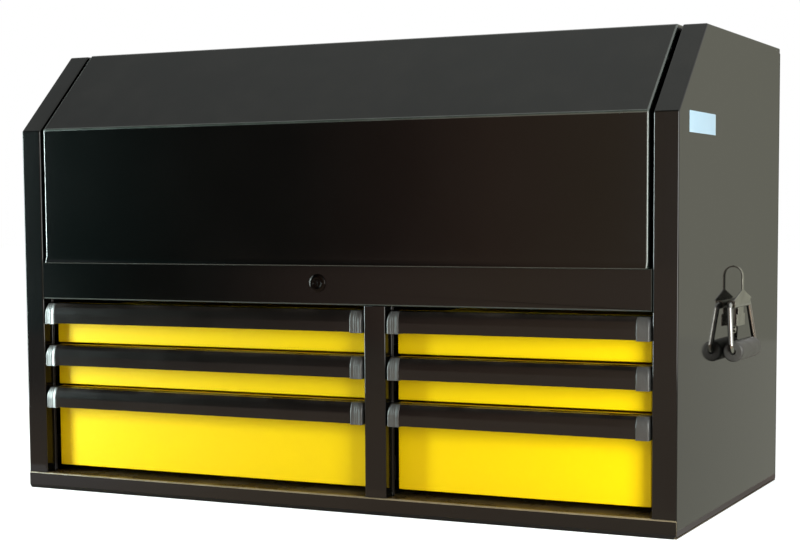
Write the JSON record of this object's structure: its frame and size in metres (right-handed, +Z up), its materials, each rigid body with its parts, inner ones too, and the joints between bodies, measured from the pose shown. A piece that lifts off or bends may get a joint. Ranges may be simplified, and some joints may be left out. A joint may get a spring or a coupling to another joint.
{
  "type": "tool chest",
  "caption": "Wide steel top chest with a lidded upper compartment, two columns of slide-out drawers with full-width pull bars, a cam lock and fold-out side handles.",
  "frame": {"origin": "on the ground, under the middle of the bounding box", "axes": "+X to the chest's right seen from its front, +Y to the back, +Z up; the drawers open towards -Y"},
  "size_m": [1.1006, 0.537, 0.6742],
  "materials": {
    "black_paint": "gloss",
    "yellow_paint": "gloss",
    "black_bar": "satin",
    "grey_plastic": "satin",
    "zinc_steel": "satin",
    "chrome_steel": "polished",
    "dark_grip": "matt",
    "strut_black": "gloss"
  },
  "bodies": {
    "cabinet": {"left_side_panel": "black_paint", "right_side_panel": "black_paint", "back_panel": "black_paint", "bottom_pan": "black_paint", "till_floor": "black_paint", "lock_rail": "black_paint", "centre_partition": "black_paint", "slide_left_top_l": "zinc_steel", "slide_left_top_r": "zinc_steel", "slide_left_middle_l": "zinc_steel", "slide_left_middle_r": "zinc_steel", "slide_left_bottom_l": "zinc_steel", "slide_left_bottom_r": "zinc_steel", "slide_right_top_l": "zinc_steel", "slide_right_top_r": "zinc_steel", "slide_right_middle_l": "zinc_steel", "slide_right_middle_r": "zinc_steel", "slide_right_bottom_l": "zinc_steel", "slide_right_bottom_r": "zinc_steel", "lock_housing": "chrome_steel", "hinge_leaf_fixed": "zinc_steel", "side_handle_bracket_left": "zinc_steel", "side_handle_bracket_right": "zinc_steel"},
    "left_top_drawer": {"drawer_left_top": "yellow_paint", "handle_bar_left_top": "black_bar", "end_cap_left_top_l": "grey_plastic", "end_cap_left_top_r": "grey_plastic"},
    "left_middle_drawer": {"drawer_left_middle": "yellow_paint", "handle_bar_left_middle": "black_bar", "end_cap_left_middle_l": "grey_plastic", "end_cap_left_middle_r": "grey_plastic"},
    "left_bottom_drawer": {"drawer_left_bottom": "yellow_paint", "handle_bar_left_bottom": "black_bar", "end_cap_left_bottom_l": "grey_plastic", "end_cap_left_bottom_r": "grey_plastic"},
    "right_top_drawer": {"drawer_right_top": "yellow_paint", "handle_bar_right_top": "black_bar", "end_cap_right_top_l": "grey_plastic", "end_cap_right_top_r": "grey_plastic"},
    "right_middle_drawer": {"drawer_right_middle": "yellow_paint", "handle_bar_right_middle": "black_bar", "end_cap_right_middle_l": "grey_plastic", "end_cap_right_middle_r": "grey_plastic"},
    "right_bottom_drawer": {"drawer_right_bottom": "yellow_paint", "handle_bar_right_bottom": "black_bar", "end_cap_right_bottom_l": "grey_plastic", "end_cap_right_bottom_r": "grey_plastic"},
    "lid": {"lid": "black_paint", "lid_stiffener": "black_paint", "hinge_leaf_moving": "zinc_steel", "lid_catch": "zinc_steel"},
    "strut_tube_left": {"strut_tube_left": "strut_black"},
    "strut_rod_left": {"strut_rod_left": "chrome_steel"},
    "strut_tube_right": {"strut_tube_right": "strut_black"},
    "strut_rod_right": {"strut_rod_right": "chrome_steel"},
    "lock_plug": {"lock_plug": "chrome_steel"},
    "side_handle_left": {"side_handle_bail_left": "chrome_steel", "side_handle_grip_left": "dark_grip"},
    "side_handle_right": {"side_handle_bail_right": "chrome_steel", "side_handle_grip_right": "dark_grip"}
  },
  "joints": [
    {"name": "left_top_drawer_slide", "type": "slide", "parent": "cabinet", "child": "left_top_drawer", "axis": [0, -1, 0], "range_m": [0, 0.35]},
    {"name": "left_middle_drawer_slide", "type": "slide", "parent": "cabinet", "child": "left_middle_drawer", "axis": [0, -1, 0], "range_m": [0, 0.35]},
    {"name": "left_bottom_drawer_slide", "type": "slide", "parent": "cabinet", "child": "left_bottom_drawer", "axis": [0, -1, 0], "range_m": [0, 0.35]},
    {"name": "right_top_drawer_slide", "type": "slide", "parent": "cabinet", "child": "right_top_drawer", "axis": [0, -1, 0], "range_m": [0, 0.35]},
    {"name": "right_middle_drawer_slide", "type": "slide", "parent": "cabinet", "child": "right_middle_drawer", "axis": [0, -1, 0], "range_m": [0, 0.35]},
    {"name": "right_bottom_drawer_slide", "type": "slide", "parent": "cabinet", "child": "right_bottom_drawer", "axis": [0, -1, 0], "range_m": [0, 0.35]},
    {"name": "lid_hinge", "type": "hinge", "parent": "cabinet", "child": "lid", "pos_m": [0, 0.2642, 0.6699], "axis": [-1, 0, 0], "range_deg": [0, 75]},
    {"name": "strut_swing_left", "type": "hinge", "parent": "cabinet", "child": "strut_tube_left", "pos_m": [-0.4655, 0.2272, 0.5139], "axis": [-1, 0, 0], "range_deg": [0, 41.5]},
    {"name": "strut_extend_left", "type": "slide", "parent": "strut_tube_left", "child": "strut_rod_left", "axis": [0, -0.7512, 0.66], "range_m": [0, 0.1348]},
    {"name": "strut_swing_right", "type": "hinge", "parent": "cabinet", "child": "strut_tube_right", "pos_m": [0.4655, 0.2272, 0.5139], "axis": [-1, 0, 0], "range_deg": [0, 41.5]},
    {"name": "strut_extend_right", "type": "slide", "parent": "strut_tube_right", "child": "strut_rod_right", "axis": [0, -0.7512, 0.66], "range_m": [0, 0.1348]},
    {"name": "lock_turn", "type": "hinge", "parent": "cabinet", "child": "lock_plug", "pos_m": [-0.005, -0.2655, 0.3252], "axis": [0, 1, 0], "range_deg": [0, 90]},
    {"name": "side_handle_left_swing", "type": "hinge", "parent": "cabinet", "child": "side_handle_left", "pos_m": [-0.5289, 0.004, 0.2925], "axis": [0, 1, 0], "range_deg": [0, 90]},
    {"name": "side_handle_right_swing", "type": "hinge", "parent": "cabinet", "child": "side_handle_right", "pos_m": [0.5289, 0.004, 0.2925], "axis": [0, -1, 0], "range_deg": [0, 90]}
  ],
  "couplings": [
    {"joint": "strut_swing_left", "follows": "lid_hinge", "ratio": 0.55223},
    {"joint": "strut_extend_left", "follows": "lid_hinge", "m_per_rad": 0.10287},
    {"joint": "strut_swing_right", "follows": "lid_hinge", "ratio": 0.55223},
    {"joint": "strut_extend_right", "follows": "lid_hinge", "m_per_rad": 0.10287}
  ]
}
